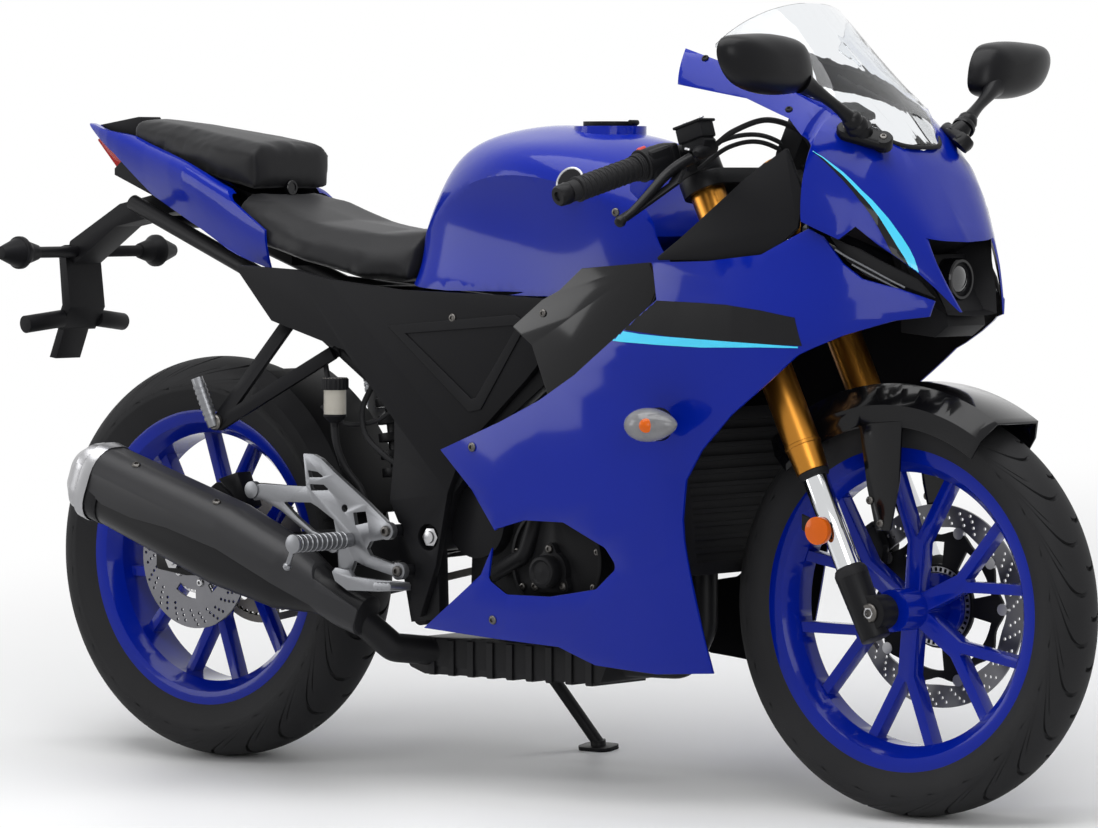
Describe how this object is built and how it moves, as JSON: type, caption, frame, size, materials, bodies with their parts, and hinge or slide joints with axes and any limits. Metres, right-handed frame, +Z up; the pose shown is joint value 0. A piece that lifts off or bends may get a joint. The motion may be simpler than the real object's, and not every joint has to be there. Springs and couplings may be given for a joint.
{
  "type": "sport motorcycle",
  "caption": "Small faired sport motorcycle with a blue fairing, stepped seat and gold fork, leaning on its side stand; wheels, steering, stand and fuel cap move.",
  "frame": {"origin": "on the ground under the middle of the parked machine's box", "axes": "+X forward along the machine, +Y to the rider's left, +Z up; the machine leans to +Y on its stand"},
  "size_m": [1.987, 0.7782, 1.1518],
  "materials": {
    "frame": "satin",
    "engine": "satin",
    "radiator": "matt",
    "exhaust": "matt",
    "silencer_shield": "satin",
    "silencer_cap": "polished",
    "swingarm": "satin",
    "axles": "plated",
    "shock": "gloss",
    "chain": "oiled",
    "rear_caliper": "satin",
    "rear_mudguard": "matt",
    "fuel_tank": "gloss",
    "rider_seat": "vinyl",
    "pillion_seat": "vinyl",
    "tail_cowls": "gloss",
    "tail_light": "clear",
    "tail_tray": "matt",
    "indicators": "clear",
    "side_covers": "matt",
    "side_fairings": "gloss",
    "upper_cowl": "gloss",
    "windscreen": "clear",
    "headlights": "gloss",
    "lamp_surrounds": "gloss",
    "mirrors": "matt",
    "cockpit": "matt",
    "air_panels": "gloss",
    "footrest_brackets": "brushed",
    "footpegs": "matt",
    "pedals": "brushed",
    "passenger_brackets": "satin",
    "brake_reservoir": "translucent",
    "triple_clamps": "satin",
    "fork_tubes": "anodised gold",
    "fork_stanchions": "polished",
    "fork_legs": "satin",
    "front_axle": "plated",
    "handlebars": "satin",
    "grips": "matt",
    "hand_controls": "matt",
    "front_fender": "gloss",
    "front_caliper": "satin",
    "fork_reflectors": "clear",
    "front_rim": "gloss",
    "front_tyre": "matt",
    "front_disc": "ground",
    "rear_rim": "gloss",
    "rear_tyre": "matt",
    "rear_disc": "ground",
    "rear_sprocket": "plated",
    "side_stand": "satin",
    "fuel_cap": "satin"
  },
  "bodies": {
    "chassis": {"frame": "frame", "engine": "engine", "radiator": "radiator", "exhaust": "exhaust", "silencer_shield": "silencer_shield", "silencer_cap": "silencer_cap", "swingarm": "swingarm", "axles": "axles", "shock": "shock", "chain": "chain", "rear_caliper": "rear_caliper", "rear_mudguard": "rear_mudguard", "fuel_tank": "fuel_tank", "rider_seat": "rider_seat", "pillion_seat": "pillion_seat", "tail_cowls": "tail_cowls", "tail_light": "tail_light", "tail_tray": "tail_tray", "indicators": "indicators", "side_covers": "side_covers", "side_fairings": "side_fairings", "upper_cowl": "upper_cowl", "windscreen": "windscreen", "headlights": "headlights", "lamp_surrounds": "lamp_surrounds", "mirrors": "mirrors", "cockpit": "cockpit", "air_panels": "air_panels", "footrest_brackets": "footrest_brackets", "footpegs": "footpegs", "pedals": "pedals", "passenger_brackets": "passenger_brackets", "brake_reservoir": "brake_reservoir"},
    "steering": {"triple_clamps": "triple_clamps", "fork_tubes": "fork_tubes", "fork_stanchions": "fork_stanchions", "fork_legs": "fork_legs", "front_axle": "front_axle", "handlebars": "handlebars", "grips": "grips", "hand_controls": "hand_controls", "front_fender": "front_fender", "front_caliper": "front_caliper", "fork_reflectors": "fork_reflectors"},
    "front_wheel": {"front_rim": "front_rim", "front_tyre": "front_tyre", "front_disc": "front_disc"},
    "rear_wheel": {"rear_rim": "rear_rim", "rear_tyre": "rear_tyre", "rear_disc": "rear_disc", "rear_sprocket": "rear_sprocket"},
    "side_stand": {"side_stand": "side_stand"},
    "fuel_cap": {"fuel_cap": "fuel_cap"}
  },
  "joints": [
    {"name": "steering_turn", "type": "hinge", "parent": "chassis", "child": "steering", "pos_m": [0.41879, -0.04022, 0.77658], "axis": [-0.4305, 0.1256, 0.8938], "range_deg": [-32, 32]},
    {"name": "front_wheel_spin", "type": "hinge", "parent": "steering", "child": "front_wheel", "pos_m": [0.6975, -0.10807, 0.29382], "axis": [0, 0.9903, -0.1392], "continuous": true},
    {"name": "rear_wheel_spin", "type": "hinge", "parent": "chassis", "child": "rear_wheel", "pos_m": [-0.6275, -0.10557, 0.31165], "axis": [0, 0.9903, -0.1392], "continuous": true},
    {"name": "side_stand_fold", "type": "hinge", "parent": "chassis", "child": "side_stand", "pos_m": [-0.1375, 0.01095, 0.19227], "axis": [0.0835, 0.9462, 0.3127], "range_deg": [0, 99]},
    {"name": "fuel_cap_lift", "type": "hinge", "parent": "chassis", "child": "fuel_cap", "pos_m": [0.1865, -0.01162, 0.98008], "axis": [0, 0.9903, -0.1392], "range_deg": [0, 100]}
  ]
}
